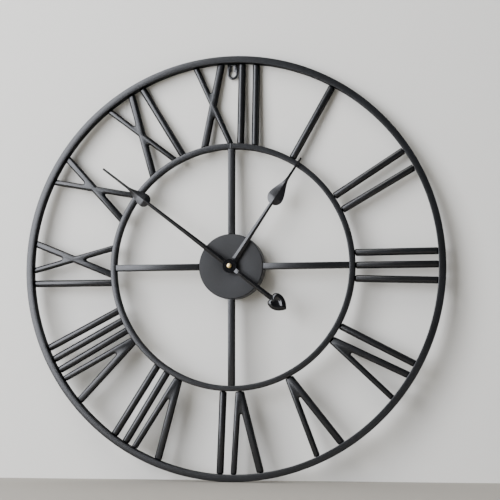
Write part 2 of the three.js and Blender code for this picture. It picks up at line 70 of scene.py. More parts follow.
# %% [markdown]
# The camera stands a little to the right of the dial's axis and a little below it, about two
# metres off, with a long lens. Both angles show the depth of the rings: their inner walls on the
# left and at the top, and the hub can's side on the right.

# %% Camera
AZIMUTH, ELEVATION, DISTANCE = radians(11.1), radians(-4.5), 2.159
FIELD_OF_VIEW = radians(18.58)
AIM_OFFSET = Vector((27.4 * MM, -14 * MM, 22.6 * MM))
away = Vector((sin(AZIMUTH) * cos(ELEVATION), -cos(AZIMUTH) * cos(ELEVATION), sin(ELEVATION)))
camera_data = bpy.data.cameras.new("camera")
camera = bpy.data.objects.new("camera", camera_data)
bpy.context.scene.collection.objects.link(camera)
camera.location = CENTRE + away * DISTANCE
camera.rotation_mode = "QUATERNION"
camera.rotation_quaternion = (CENTRE + AIM_OFFSET - camera.location).to_track_quat("-Z", "Y")
camera_data.sensor_width = 36
camera_data.lens = camera_data.sensor_width / 2 / tan(FIELD_OF_VIEW / 2)
camera_data.clip_start, camera_data.clip_end = 0.05, 60
bpy.context.scene.camera = camera
print("camera at", tuple(round(c, 3) for c in camera.location), "lens", round(camera_data.lens, 1))

# %% [markdown]
# Colours are written as sRGB hex values, the way a paint chart gives them, and one function turns
# them to the linear values that the shader needs. One small function adds any node with its
# settings and its links, so that a material reads as a short list of steps.

# %% Colour and node helpers
def linear(hex_colour):
    channels = [int(hex_colour[i:i + 2], 16) / 255 for i in (1, 3, 5)]
    return [c / 12.92 if c <= 0.04045 else ((c + 0.055) / 1.055) ** 2.4 for c in channels] + [1]


def add_node(tree, kind, links=None, inputs=None, **settings):
    node = tree.nodes.new(kind)
    for key, value in settings.items():
        setattr(node, key, value)
    for key, value in (inputs or {}).items():
        node.inputs[key].default_value = value
    for key, source in (links or {}).items():
        tree.links.new(source, node.inputs[key])
    return node


def new_material(name):
    material = bpy.data.materials.new(name)
    material.use_nodes = True
    tree = material.node_tree
    tree.nodes.clear()
    return material, tree


def ramp(tree, factor, stops, interpolation="LINEAR"):
    node = add_node(tree, "ShaderNodeValToRGB", {"Fac": factor})
    node.color_ramp.interpolation = interpolation
    elements = node.color_ramp.elements
    while len(elements) < len(stops):
        elements.new(0.5)
    for element, (place, colour) in zip(elements, stops):
        element.position = place
        element.color = colour
    return node.outputs["Color"]


def grey(value):
    return [value, value, value, 1]


def surface(tree, inputs, links=None):
    shader = add_node(tree, "ShaderNodeBsdfPrincipled", links, inputs)
    add_node(tree, "ShaderNodeOutputMaterial", {"Surface": shader.outputs["BSDF"]})


def noise(tree, vector, size_mm, detail=2, roughness=0.5):
    settings = {"Scale": 1 / (size_mm * MM), "Detail": detail, "Roughness": roughness}
    return add_node(tree, "ShaderNodeTexNoise", {"Vector": vector}, settings).outputs["Fac"]


def bump(tree, height, depth_mm, normal=None):
    links = {"Height": height}
    if normal:
        links["Normal"] = normal
    settings = {"Strength": 1.0, "Distance": depth_mm * MM}
    return add_node(tree, "ShaderNodeBump", links, settings).outputs["Normal"]


def object_coordinates(tree):
    return add_node(tree, "ShaderNodeTexCoord").outputs["Object"]

# %% [markdown]
# The frame is steel with a satin black powder coat. The powder melts into a skin about 0.08 mm
# thick that draws up into orange peel, shallow waves about 1.5 mm apart, with a finer grain on top.
# Where the skin is a little thicker it is also a little glossier, which the roughness follows.
# The bars and rings are ground before they are coated and come out glossier than the drawn can,
# whose sheet keeps the fine matt grain of the press. Faces that look sideways are seen at a
# shallow angle, where a satin coat mirrors the pale wall and reads too light. They get a dead matt
# coat with almost no specular. That is a shortcut for the look, not how a real powder coat behaves.

# %% Satin black powder coat
def make_powder_coat(name, low, high, extra=None):
    material, tree = new_material(name)
    place = object_coordinates(tree)
    peel = noise(tree, place, 1.6, 3)
    grain = noise(tree, place, 0.35, 2)
    cloud = noise(tree, place, 45, 2)
    tint = ramp(tree, cloud, [(0.35, linear("#0f1011")), (0.65, linear("#151618"))])
    sheen = ramp(tree, peel, [(0.3, grey(low)), (0.7, grey(high))])
    waves = bump(tree, peel, 0.03)
    skin = bump(tree, grain, 0.012, waves)
    links = {"Base Color": tint, "Roughness": sheen, "Normal": skin}
    surface(tree, {"Metallic": 0.0, "IOR": 1.5, **(extra or {})}, links)
    return material


POWDER_COAT = make_powder_coat("satin_black_powder_coat", 0.21, 0.27)
CAN_COAT = make_powder_coat("matt_black_powder_coat_on_drawn_sheet", 0.54, 0.62)
SIDE_COAT = make_powder_coat(
    "dead_matt_powder_coat_on_side_faces", 0.6, 0.7, {"Specular IOR Level": 0.05},
)
print("materials:", POWDER_COAT.name, CAN_COAT.name, SIDE_COAT.name)

# %% [markdown]
# The hands are stamped from thin sheet and dipped in black lacquer, stoved hard. It flows out
# nearly flat, so each facet of a hand keeps one even tone, and its gloss is a little above the
# frame's. Slow waves some millimetres long are all that breaks it. The turned bosses and the cast
# heart have a polished ground under the same lacquer, and come out glossier.

# %% Gloss black lacquer
def make_lacquer(name, low, high):
    material, tree = new_material(name)
    place = object_coordinates(tree)
    flow = noise(tree, place, 5, 2)
    dust = noise(tree, place, 0.6, 2)
    tint = ramp(tree, dust, [(0.4, linear("#08080a")), (0.8, linear("#0e0e10"))])
    sheen = ramp(tree, dust, [(0.3, grey(low)), (0.75, grey(high))])
    waves = bump(tree, flow, 0.02)
    links = {"Base Color": tint, "Roughness": sheen, "Normal": waves}
    surface(tree, {"Metallic": 0.0, "IOR": 1.5}, links)
    return material


LACQUER = make_lacquer("black_stoved_lacquer_on_sheet", 0.2, 0.26)
GLOSS_LACQUER = make_lacquer("gloss_black_stoved_lacquer_on_castings", 0.09, 0.15)
print("materials:", LACQUER.name, GLOSS_LACQUER.name)

# %% [markdown]
# The nut that holds the minute hand is turned brass. A lathe tool leaves fine rings round the axis,
# about 0.15 mm apart, and the metal's own colour tints the highlight.

# %% Turned brass and plated steel
WAVES_PER_UNIT = 3.2  # a wave texture at scale 1 repeats about this often in a length of 1


def make_turned_metal(name, dark, light, low, high, ring_mm):
    material, tree = new_material(name)
    place = object_coordinates(tree)
    centred = add_node(
        tree, "ShaderNodeMapping", {"Vector": place}, {"Location": (-CENTRE.x, 0, -CENTRE.z)},
    ).outputs["Vector"]
    rings = add_node(
        tree, "ShaderNodeTexWave", {"Vector": centred},
        {"Scale": 1 / (ring_mm * MM) / WAVES_PER_UNIT, "Distortion": 0.4, "Detail": 1},
        wave_type="RINGS", rings_direction="Y",
    ).outputs["Fac"]
    smudge = noise(tree, place, 3, 3)
    tint = ramp(tree, smudge, [(0.35, linear(dark)), (0.7, linear(light))])
    sheen = ramp(tree, smudge, [(0.3, grey(low)), (0.75, grey(high))])
    grooves = bump(tree, rings, 0.004)
    links = {"Base Color": tint, "Roughness": sheen, "Normal": grooves}
    surface(tree, {"Metallic": 1.0}, links)
    return material


BRASS = make_turned_metal("turned_brass", "#e2c384", "#f6e8c2", 0.26, 0.38, 0.15)
ZINC = make_turned_metal("zinc_plated_steel", "#9a9da0", "#c3c6c9", 0.28, 0.42, 0.3)
print("materials:", BRASS.name, ZINC.name)

# %% [markdown]
# The movement's case is injection-moulded black ABS. The mould is spark-eroded, which leaves a fine
# even grain about 0.25 mm across, so the plastic looks matt, with a soft wide highlight.

# %% Moulded plastics
def make_moulded(name, dark, light, low, high, grain_mm, depth_mm, extra=None):
    material, tree = new_material(name)
    place = object_coordinates(tree)
    grain = noise(tree, place, grain_mm, 2)
    cloud = noise(tree, place, 18, 2)
    tint = ramp(tree, cloud, [(0.35, linear(dark)), (0.65, linear(light))])
    sheen = ramp(tree, grain, [(0.3, grey(low)), (0.7, grey(high))])
    texture = bump(tree, grain, depth_mm)
    links = {"Base Color": tint, "Roughness": sheen, "Normal": texture}
    surface(tree, {"Metallic": 0.0, "IOR": 1.53, **(extra or {})}, links)
    return material


CASE_PLASTIC = make_moulded(
    "spark_textured_black_abs", "#131314", "#1b1b1d", 0.48, 0.6, 0.5, 0.02,
)
GEAR_PLASTIC = make_moulded(
    "natural_acetal", "#e0dccd", "#eeebe0", 0.3, 0.42, 1.2, 0.004, {"Subsurface Weight": 0.1},
)
BOARD_LACQUER = make_moulded("green_solder_mask", "#174a2a", "#1f6238", 0.25, 0.4, 0.8, 0.006)
FERRITE = make_moulded("ground_ferrite", "#2b2c2f", "#3c3d41", 0.4, 0.6, 0.2, 0.01)
print("materials:", CASE_PLASTIC.name, GEAR_PLASTIC.name, BOARD_LACQUER.name, FERRITE.name)

# %% [markdown]
# The coil is enamelled copper wire, wound in even layers. The turns are far too fine to draw, so
# they are drawn 0.3 mm apart, as coarse as they need to be to read as winding. Between the turns
# the copper is painted darker, as painted shade in the grooves, and a bump gives the turns relief.

# %% Copper winding and the cell's sleeve
TURN_SPACING = 0.3 * MM


def make_winding():
    material, tree = new_material("enamelled_copper_winding")
    place = object_coordinates(tree)
    turns = add_node(
        tree, "ShaderNodeTexWave", {"Vector": place}, {"Scale": 1 / TURN_SPACING / WAVES_PER_UNIT},
        wave_type="BANDS", bands_direction="Z",
    ).outputs["Fac"]
    # Painted shade: the ramp darkens the copper towards the groove between each pair of turns.
    tint = ramp(tree, turns, [(0.2, linear("#7c3f1c")), (0.8, linear("#c9763f"))])
    links = {"Base Color": tint, "Normal": bump(tree, turns, 0.05)}
    surface(tree, {"Metallic": 0.9, "Roughness": 0.32}, links)
    return material


def make_cell_sleeve(low_x, high_x):
    """A shrunk printed sleeve: plain grey, with a dark band over the positive third."""
    material, tree = new_material("printed_shrink_sleeve")
    place = object_coordinates(tree)
    along = add_node(tree, "ShaderNodeSeparateXYZ", {"Vector": place}).outputs["X"]
    share = add_node(
        tree, "ShaderNodeMapRange", {"Value": along}, {"From Min": low_x, "From Max": high_x},
    ).outputs["Result"]
    metal_end, sleeve, band = linear("#b9bcbf"), linear("#8d9298"), linear("#22324f")
    stops = [(0.0, metal_end), (0.03, sleeve), (0.62, band), (0.955, metal_end)]
    printed = ramp(tree, share, stops, "CONSTANT")
    wrinkle = noise(tree, place, 2.5, 2)
    sheen = ramp(tree, wrinkle, [(0.3, grey(0.24)), (0.7, grey(0.34))])
    links = {
        "Base Color": printed,
        "Roughness": sheen,
        "Normal": bump(tree, wrinkle, 0.02),
    }
    surface(tree, {"Metallic": 0.35, "Coat Weight": 0.3}, links)
    return material


WINDING = make_winding()
cell_low, cell_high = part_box("battery")
CELL_SLEEVE = make_cell_sleeve(cell_low.x, cell_high.x)
print("materials:", WINDING.name, CELL_SLEEVE.name)

# %% [markdown]
# Modelling helpers. An operator acts on whatever is selected, so each helper first deselects
# everything and makes its own object active. A slab starts as a filled circle primitive with as
# many corners as the outline, which are then put in their places and extruded to the thickness.
# A round piece starts the same way as a ring of corners round its section, which is then spun.

# %% Modelling helpers
FRONT = Vector((0, -1, 0))
SIDEWAYS = 0.5  # a face whose normal leans less than this to the front or back counts as a side


def only(piece):
    bpy.ops.object.select_all(action="DESELECT")
    piece.select_set(True)
    bpy.context.view_layer.objects.active = piece
    return piece


def edit(piece, select="SELECT"):
    only(piece)
    bpy.ops.object.mode_set(mode="EDIT")
    bpy.ops.mesh.select_mode(type="VERT")
    bpy.ops.mesh.select_all(action=select)


def leave_edit():
    bpy.ops.object.mode_set(mode="OBJECT")


def select_where(piece, edges=None, faces=None):
    """Selects edges or faces by a test on their corners' places, from edit mode."""
    bpy.ops.mesh.select_mode(type="EDGE" if edges else "FACE")
    bpy.ops.mesh.select_all(action="DESELECT")
    shape = bmesh.from_edit_mesh(piece.data)
    for item in shape.edges if edges else shape.faces:
        if (edges or faces)([v.co for v in item.verts]):
            item.select_set(True)
    bmesh.update_edit_mesh(piece.data)


def apply_modifier(piece, kind, **settings):
    only(piece)
    modifier = piece.modifiers.new(kind.lower(), kind)
    for key, value in settings.items():
        setattr(modifier, key, value)
    bpy.ops.object.modifier_apply(modifier=modifier.name)


def round_edges(piece, width, segments=3, angle=35):
    apply_modifier(
        piece, "BEVEL", width=width, segments=segments, limit_method="ANGLE",
        angle_limit=radians(angle), harden_normals=False, use_clamp_overlap=True,
    )


def corner_loop(name, corners, filled):
    """A circle primitive whose corners are put at the given places."""
    bpy.ops.object.select_all(action="DESELECT")
    fill = "NGON" if filled else "NOTHING"
    bpy.ops.mesh.primitive_circle_add(vertices=len(corners), fill_type=fill, location=(0, 0, 0))
    piece = bpy.context.object
    piece.name = piece.data.name = name
    for vertex, corner in zip(piece.data.vertices, corners):
        vertex.co = corner
    return piece


def face_out(piece):
    edit(piece)
    bpy.ops.mesh.remove_doubles(threshold=0.005 * MM)
    bpy.ops.mesh.delete_loose()
    bpy.ops.mesh.select_all(action="SELECT")
    bpy.ops.mesh.normals_make_consistent(inside=False)
    leave_edit()


def slab(name, outline, back, front):
    """A flat outline of (x, z) corners, from the front plane to the back plane."""
    piece = corner_loop(name, [(x, front, z) for x, z in outline], filled=True)
    edit(piece)
    bpy.ops.mesh.extrude_region_move(TRANSFORM_OT_translate={"value": (0, back - front, 0)})
    leave_edit()
    face_out(piece)
    return piece


def spun(name, section, steps, centre=CENTRE):
    """A section of (radius, y) corners, spun once round the dial's axis or one parallel to it."""
    corners = [(centre.x + radius, y, centre.z) for radius, y in section]
    piece = corner_loop(name, corners, filled=False)
    edit(piece)
    bpy.ops.mesh.spin(steps=steps, angle=2 * pi, center=centre, axis=(0, 1, 0))
    leave_edit()
    face_out(piece)
    return piece


def dial_point(u, v, clockwise=0.0):
    """(x, z) of a point u to the right of and v out along a radius, turned clockwise from 12."""
    x = CENTRE.x + u * cos(clockwise) + v * sin(clockwise)
    z = CENTRE.z - u * sin(clockwise) + v * cos(clockwise)
    return x, z


def arc(centre_u, centre_v, radius, start, end, steps):
    turns = [radians(start + (end - start) * i / steps) for i in range(steps + 1)]
    return [(centre_u + radius * cos(t), centre_v + radius * sin(t)) for t in turns]


def join(pieces):
    only(pieces[0])
    for piece in pieces:
        piece.select_set(True)
    bpy.ops.object.join()
    return bpy.context.object


def finish_piece(piece, material, body, nodes=(), angle=32, side=None):
    """Gives a piece its finish, smooth shading and body, and hides the CAD parts it stands for."""
    only(piece)
    bpy.ops.object.transform_apply(location=True, rotation=True, scale=True)
    bpy.ops.object.shade_smooth_by_angle(angle=radians(angle))
    piece.data.materials.clear()
    piece.data.materials.append(material)
    if side:
        piece.data.materials.append(side)
        for face in piece.data.polygons:
            face.material_index = 1 if abs(face.normal.y) < SIDEWAYS else 0
    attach(piece, body)
    if nodes:
        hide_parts(*nodes)
    print("made", piece.name, "-", len(piece.data.polygons), "faces")
    return piece

# %% [markdown]
# The two rings are rectangular steel bar, rolled into a hoop and butt-welded. The bar is cold
# drawn, so its long edges are crisp, with a small radius that the powder coat fills a little. The
# section is a rectangle of four corners, spun round the dial's axis, and a bevel rounds its edges.
# Where the two ends of the bar meet they are welded and ground; that seam is made with the welds.

# %% Rings
BAR_EDGE = 0.9 * MM


def ring(name, outside, inside, front, back):
    section = [(inside, front), (outside, front), (outside, back), (inside, back)]
    hoop = spun(name, section, steps=192)
    round_edges(hoop, BAR_EDGE, segments=4)
    return finish_piece(
        hoop, POWDER_COAT, "frame", [name.replace("_hoop", "")],
        side=SIDE_COAT,
    )


ring("outer_ring_hoop", OUTER_RADIUS, OUTER_BORE, ring_low.y, ring_high.y)
ring("inner_ring_hoop", INNER_RADIUS, INNER_BORE, inner_low.y, inner_high.y)

# %% [markdown]
# Each numeral bar is pressed from sheet steel: a long shell with a domed front, walls that turn
# back towards the wall, closed ends, and an open back. The outline is made as a slab and the
# front's long edges are bevelled in several segments until the top is domed. The press also rounds
# each end a little, all round its face, so a narrow dark gap is left between the end and the ring.
# Then the back is taken away, and Solidify gives the sheet its thickness inwards.

# %% Numeral bars: helpers
STROKE_THICK, STROKE_THIN = 9.6 * MM, 7.8 * MM
STROKE_FRONT, STROKE_BACK = stroke_low.y, stroke_high.y
SHEET = 0.9 * MM
END_GAP = 0.45 * MM
FILLET = 2.4 * MM
WEB_END = 207.5 * MM


def on_circle(u, radius):
    return sqrt(radius * radius - u * u)


def stroke_edges(at_inner, at_outer, width):
    """The two long edges of a stroke, each a pair of (u, v) points on the inner and outer ring."""
    run = OUTER_BORE - INNER_RADIUS
    lean = atan2(at_outer - at_inner, run)
    half = width / 2 / cos(lean)
    edges = []
    for side in (-half, half):
        slope = (at_outer - at_inner) / run
        start = at_inner + side
        low = on_circle(start, INNER_RADIUS + END_GAP)
        high_u = start + slope * (on_circle(at_outer + side, OUTER_BORE) - INNER_RADIUS)
        high = on_circle(high_u, OUTER_BORE - END_GAP)
        edges.append(((start + slope * (low - INNER_RADIUS), low), (high_u, high)))
    return edges


def meeting(first, second):
    """Where two lines, each given by two (u, v) points, cross."""
    (x1, y1), (x2, y2) = first
    (x3, y3), (x4, y4) = second
    bottom = (x1 - x2) * (y3 - y4) - (y1 - y2) * (x3 - x4)
    one, two = x1 * y2 - y1 * x2, x3 * y4 - y3 * x4
    u = (one * (x3 - x4) - (x1 - x2) * two) / bottom
    v = (one * (y3 - y4) - (y1 - y2) * two) / bottom
    return u, v


def along(line, height):
    (x1, y1), (x2, y2) = line
    return x1 + (x2 - x1) * (height - y1) / (y2 - y1), height


def fillet(before, corner, after, radius, steps=4):
    """Points of a small curve that replaces a corner."""
    before, corner, after = Vector(before), Vector(corner), Vector(after)
    one, two = (before - corner).normalized(), (after - corner).normalized()
    half_angle = one.angle(two) / 2
    reach = radius / tan(half_angle)
    start, end = corner + one * reach, corner + two * reach
    points = []
    for i in range(steps + 1):
        t = i / steps
        points.append(tuple(start * (1 - t) ** 2 + corner * 2 * t * (1 - t) + end * t * t))
    return points


def straight_outline(ends):
    left, right = stroke_edges(*ends, STROKE_THICK)
    return [left[0], right[0], right[1], left[1]]


def crossed_outline(ends):
    """Two strokes that cross, as one outline, with a small curve in each notch."""
    thick_left, thick_right = stroke_edges(*ends[0], STROKE_THICK)
    thin_left, thin_right = stroke_edges(*ends[1], STROKE_THIN)
    bottom = meeting(thick_right, thin_left)
    right = meeting(thick_right, thin_right)
    top = meeting(thick_left, thin_right)
    left = meeting(thick_left, thin_left)
    return [
        thick_left[0], thick_right[0], *fillet(thick_right[0], bottom, thin_left[0], FILLET),
        thin_left[0], thin_right[0], *fillet(thin_right[0], right, thick_right[1], FILLET),
        thick_right[1], thick_left[1], *fillet(thick_left[1], top, thin_right[1], FILLET),
        thin_right[1], thin_left[1], *fillet(thin_left[1], left, thick_left[0], FILLET),
    ]


def forked_outline(ends):
    """Two arms that grow from one foot, with a flat web up to a small round notch."""
    foot, thick_out, thin_out = ends
    thick_left, thick_right = stroke_edges(foot - 1 * MM, thick_out, STROKE_THICK)
    thin_left, thin_right = stroke_edges(foot + 1.5 * MM, thin_out, STROKE_THIN)
    notch_left, notch_right = along(thick_right, WEB_END), along(thin_left, WEB_END)
    middle = (notch_left[0] + notch_right[0]) / 2
    half = (notch_right[0] - notch_left[0]) / 2
    notch = arc(middle, WEB_END + half * 0.4, half, 0, -180, 6)
    return [
        thick_left[0], thin_right[0], thin_right[1], thin_left[1],
        *notch, thick_right[1], thick_left[1],
    ]

# %% [markdown]
# The places of the strokes are the maker's drawing: for each stroke, how far it lies to the right
# of its numeral's own radius at the inner ring and at the outer ring, in millimetres. They are the
# same values as in the frame, and the print below checks each bar against its own CAD box.

# %% Numeral bars
NUMERALS = {
    1: {"i": (-1.4, -2.2)},
    2: {"i_left": (-11.4, -16.4), "i_right": (10.9, 11.4)},
    3: {"i_left": (-17.6, -18.4), "i_middle": (0, 0), "i_right": (18.6, 22.2)},
    4: {"i": (-3.4, -9.1), "v": (19.4, 8.7, 47.6)},
    5: {"v": (8, -10.5, 28.4)},
    6: {"v": (-10.6, -41, -2.2), "i": (12.7, 17.2)},
    7: {"v": (-11.7, -44, -5.2), "i_left": (7, 9.9), "i_right": (24, 29)},
    8: {
        "v": (-17.8, -53.6, -14),
        "i_left": (-0.5, 0.5),
        "i_middle": (15, 18.1),
        "i_right": (30.4, 36),
    },
    9: {"i": (-20.4, -20.5), "x": ((-8.7, 38.1), (29.1, -1.3))},
    10: {"x": ((-19.5, 17.3), (19.5, -21.3))},
    11: {"x": ((-33, -3.8), (5.3, -43.4)), "i": (18.2, 15.1)},
    12: {"x": ((-39.3, -16.1), (-2.2, -55)), "i_left": (11.9, 14.3), "i_right": (32.8, 34.9)},
}
OUTLINES = {"i": straight_outline, "v": forked_outline, "x": crossed_outline}
DOME = {"i": 3.9 * MM, "v": 3.0 * MM, "x": 3.0 * MM}
END_ROUND = 1.5 * MM


def in_metres(value):
    return tuple(in_metres(v) for v in value) if isinstance(value, tuple) else value * MM


def distance_out(place):
    return hypot(place.x - CENTRE.x, place.z - CENTRE.z)


def on_plane(places, y):
    return all(abs(place.y - y) < 0.01 * MM for place in places)


def at_one_end(places):
    inside = all(distance_out(p) < INNER_RADIUS + END_GAP + 0.15 * MM for p in places)
    outside = all(distance_out(p) > OUTER_BORE - END_GAP - 0.25 * MM for p in places)
    return inside or outside


def numeral_bar(hour, letter, ends):
    clockwise = radians(30 * hour)
    kind = letter[0]
    outline = OUTLINES[kind](in_metres(ends))
    corners = [dial_point(u, v, clockwise) for u, v in outline]
    bar = slab(f"bar_{hour}_{letter}", corners, STROKE_BACK, STROKE_FRONT)
    long_front = lambda places: on_plane(places, STROKE_FRONT) and not at_one_end(places)
    end_rim = lambda places: at_one_end(places) and not on_plane(places, STROKE_BACK)
    edit(bar)
    select_where(bar, edges=long_front)
    bpy.ops.mesh.bevel(offset=DOME[kind], segments=6, profile=0.5, affect="EDGES")
    select_where(bar, edges=end_rim)
    bpy.ops.mesh.bevel(offset=END_ROUND, segments=4, profile=0.5, affect="EDGES")
    select_where(bar, faces=lambda places: on_plane(places, STROKE_BACK))
    bpy.ops.mesh.delete(type="ONLY_FACE")
    leave_edit()
    apply_modifier(bar, "SOLIDIFY", thickness=SHEET, offset=-1, use_even_offset=True)
    return finish_piece(
        bar, POWDER_COAT, "frame", [f"numeral_{hour}_{letter}"], angle=50,
        side=SIDE_COAT,
    )


for hour, pieces in NUMERALS.items():
    for letter, ends in pieces.items():
        bar = numeral_bar(hour, letter, ends)
        node_low, node_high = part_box(f"numeral_{hour}_{letter}")
        low = Vector([min(v.co[k] for v in bar.data.vertices) for k in range(3)])
        high = Vector([max(v.co[k] for v in bar.data.vertices) for k in range(3)])
        off = max((low - node_low).length, (high - node_high).length)
        print("  off its CAD box by", round(off / MM, 2), "mm")

# %% [markdown]
# Behind the dial every bar is held to its ring by a short bead of weld. A bead is a squashed ball,
# modelled once and copied to each joint, and the copies are joined in one piece. The inner ring's
# own butt weld is ground flat in front and leaves a low band across the face, at twelve.

# %% Welds
BEAD_RADII = (2.6 * MM, 0.75 * MM, 1.3 * MM)
SEAM_HALF, SEAM_PROUD, SEAM_INSET = 1.3 * MM, 0.16 * MM, 0.35 * MM


def welds(spots):
    bpy.ops.object.select_all(action="DESELECT")
    bpy.ops.mesh.primitive_uv_sphere_add(segments=12, ring_count=8, radius=1, location=(0, 0, 0))
    bead = bpy.context.object
    edit(bead)
    bpy.ops.transform.resize(value=BEAD_RADII, center_override=(0, 0, 0))
    leave_edit()
    copies = []
    for u, v, clockwise in spots:
        copy = bpy.data.objects.new("weld_bead", bead.data.copy())
        bpy.context.scene.collection.objects.link(copy)
        x, z = dial_point(u, v, clockwise)
        copy.location = (x, STROKE_BACK + 0.1 * MM, z)
        copy.rotation_euler = (0, clockwise + atan2(u, v), 0)
        copies.append(copy)
    bpy.data.objects.remove(bead)
    row = join(copies)
    row.name = row.data.name = "weld_beads"
    return finish_piece(row, POWDER_COAT, "frame")


def joints():
    spots = []
    for hour, pieces in NUMERALS.items():
        for letter, ends in pieces.items():
            ends = in_metres(ends)
            inner, outer = zip(*ends) if letter == "x" else (ends[:1], ends[1:])
            spots += [(u, on_circle(u, INNER_RADIUS), radians(30 * hour)) for u in inner]
            spots += [(u, on_circle(u, OUTER_BORE), radians(30 * hour)) for u in outer]
    return spots


welds(joints())


def ring_seam():
    low, high = INNER_BORE + SEAM_INSET, INNER_RADIUS - SEAM_INSET
    corners = ((-SEAM_HALF, low), (SEAM_HALF, low), (SEAM_HALF, high), (-SEAM_HALF, high))
    outline = [dial_point(u, v) for u, v in corners]
    band = slab("inner_ring_seam", outline, inner_low.y + 1 * MM, inner_low.y - SEAM_PROUD)
    round_edges(band, 0.14 * MM, segments=3)
    return finish_piece(band, POWDER_COAT, "frame")


ring_seam()

# %% [markdown]
# The spokes are the same kind of bar as the rings, a little narrower, welded between the inner ring
# and the can. Each is a slab with its long edges rounded.

# %% Spokes
SPOKE_HALF = 4.4 * MM
for quarter, side in enumerate(("top", "right", "bottom", "left")):
    turn = quarter * pi / 2
    foot, head = CAN_RADIUS - 0.2 * MM, INNER_BORE + 0.2 * MM
    outline = [(-SPOKE_HALF, foot), (SPOKE_HALF, foot), (SPOKE_HALF, head), (-SPOKE_HALF, head)]
    low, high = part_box(f"spoke_{side}")
    bar = slab(f"bar_spoke_{side}", [dial_point(u, v, turn) for u, v in outline], high.y, low.y)
    round_edges(bar, BAR_EDGE, segments=4)
    finish_piece(
        bar, POWDER_COAT, "frame", [f"spoke_{side}"], side=SIDE_COAT,
    )

# %% [markdown]
# The hub can is drawn from sheet like a shallow saucepan, and its open edge is turned inwards for
# stiffness. The drawn corner between its face and its side has a radius of about 1.6 mm, which
# reads as a dark line on the side away from the light. The section is spun round the axis, and a
# small bevel takes the sharpness off the other edges.

# %% Hub can
def hub_can():
    wall, lip, hole, corner = 1.2 * MM, 5 * MM, 4.3 * MM, 1.6 * MM
    front, back = can_low.y, can_high.y
    section = [
        (hole, front),
        *arc(CAN_RADIUS - corner, front + corner, corner, -90, 0, 8),
        (CAN_RADIUS, back),
        (CAN_RADIUS - lip, back),
        (CAN_RADIUS - lip, back - wall),
        (CAN_RADIUS - 2 * wall, back - wall),
        (CAN_RADIUS - 2 * wall, front + wall),
        (hole, front + wall),
    ]
    can = spun("hub_can_shell", section, steps=144)
    round_edges(can, 0.25 * MM, segments=3, angle=60)
    return finish_piece(can, CAN_COAT, "frame", ["hub_can"])


hub_can()

# %% [markdown]
# The hanger is a small plate with a keyhole: the screw's head goes through the round part and the
# shank slides up the slot. The plate is a slab, the keyhole is a second slab, and a boolean cuts
# one with the other.

# %% Keyhole hanger
def keyhole_hanger():
    low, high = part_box("keyhole_hanger")
    half = (high.x - low.x) / 2
    eye_radius, slot_half = 4.4 * MM, 1.8 * MM
    eye_v = low.z + half + 0.4 * MM - CENTRE.z
    slot_top = -CENTRE.z
    head = OUTER_BORE + 0.2 * MM
    outline = [(half, head), (-half, head), *arc(0, low.z + half - CENTRE.z, half, 180, 360, 20)]
    plate = slab("hanger_plate", [dial_point(u, v) for u, v in outline], high.y, low.y)
    mouth = degrees(acos(slot_half / eye_radius))
    keyhole = [
        *arc(0, eye_v, eye_radius, mouth, mouth - 360 + 2 * (90 - mouth), 28),
        *arc(0, slot_top - slot_half, slot_half, 180, 0, 10),
    ]
    corners = [dial_point(u, v) for u, v in keyhole]
    cutter = slab("keyhole_cutter", corners, high.y + 2 * MM, low.y - 2 * MM)
    apply_modifier(plate, "BOOLEAN", operation="DIFFERENCE", object=cutter, solver="EXACT")
    bpy.data.objects.remove(cutter)
    round_edges(plate, 0.15 * MM, segments=2)
    return finish_piece(
        plate, POWDER_COAT, "frame", ["keyhole_hanger"], side=SIDE_COAT,
    )


keyhole_hanger()

# %% [markdown]
# The washer and the hexagonal nut clamp the movement's threaded bush to the can's face. They sit
# behind the hands, and show from the side.

# %% Washer, hexagonal nut and bush
def washer():
    low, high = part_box("washer")
    outside, bore = (high.x - low.x) / 2, 4.2 * MM
    section = [(bore, low.y), (outside, low.y), (outside, high.y), (bore, high.y)]
    piece = spun("clamp_washer", section, steps=64)
    round_edges(piece, 0.15 * MM, segments=2)
    return finish_piece(piece, ZINC, "frame", ["washer"])


def hex_nut():
    low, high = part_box("hex_nut")
    corner = (high.z - low.z) / 2
    turns = [radians(60 * i) for i in range(6)]
    outline = [dial_point(corner * sin(t), corner * cos(t)) for t in turns]
    piece = slab("clamp_nut", outline, high.y, low.y)
    bore = [dial_point(u, v) for u, v in arc(0, 0, 4.0 * MM, 0, 345, 23)]
    cutter = slab("nut_bore", bore, high.y + MM, low.y - MM)
    apply_modifier(piece, "BOOLEAN", operation="DIFFERENCE", object=cutter, solver="EXACT")
    bpy.data.objects.remove(cutter)
    round_edges(piece, 0.3 * MM, segments=2)
    return finish_piece(piece, BRASS, "frame", ["hex_nut"])


def threaded_bush():
    low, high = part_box("threaded_bush")
    flange = (high.x - low.x) / 2
    radius, bore, pitch, depth = 3.9 * MM, 2.65 * MM, 0.75 * MM, 0.3 * MM
    seat = high.y - 1 * MM
    section = [(bore, high.y), (flange, high.y), (flange, seat), (radius, seat)]
    turns = int((seat - low.y) / pitch)
    for turn in range(turns):
        section.append((radius - depth, seat - (turn + 0.5) * pitch))
        section.append((radius, seat - (turn + 1) * pitch))
    section.append((bore, low.y))
    piece = spun("bush_thread", section, steps=48)
    return finish_piece(piece, BRASS, "frame", ["threaded_bush"])


washer()
hex_nut()
threaded_bush()

# %% [markdown]
# Each hand is stamped from thin sheet and folded along its length, so that it has a straight ridge
# down the middle that throws light to one side and shade to the other. A grid primitive is laid
# along the hand, its rows are pulled to the hand's half-width, its outer columns fall back from the
# ridge, and Solidify gives the sheet. Near the boss, and under the heart, the
# fold fades out to a flat. The fold is shallow across the spade, where the sheet is widest, and the
# press pinches it steeper towards the needle.

# %% Hands: helpers
HAND_SHEET = 0.9 * MM
RIDGE_HALF = 0.22 * MM
SHAFT_PINCH, NEEDLE_PINCH = 1.25, 2.6
FOLD_START, FOLD_FULL, FOLD_FADES, FOLD_GONE = 9.5 * MM, 16 * MM, 66 * MM, 72 * MM


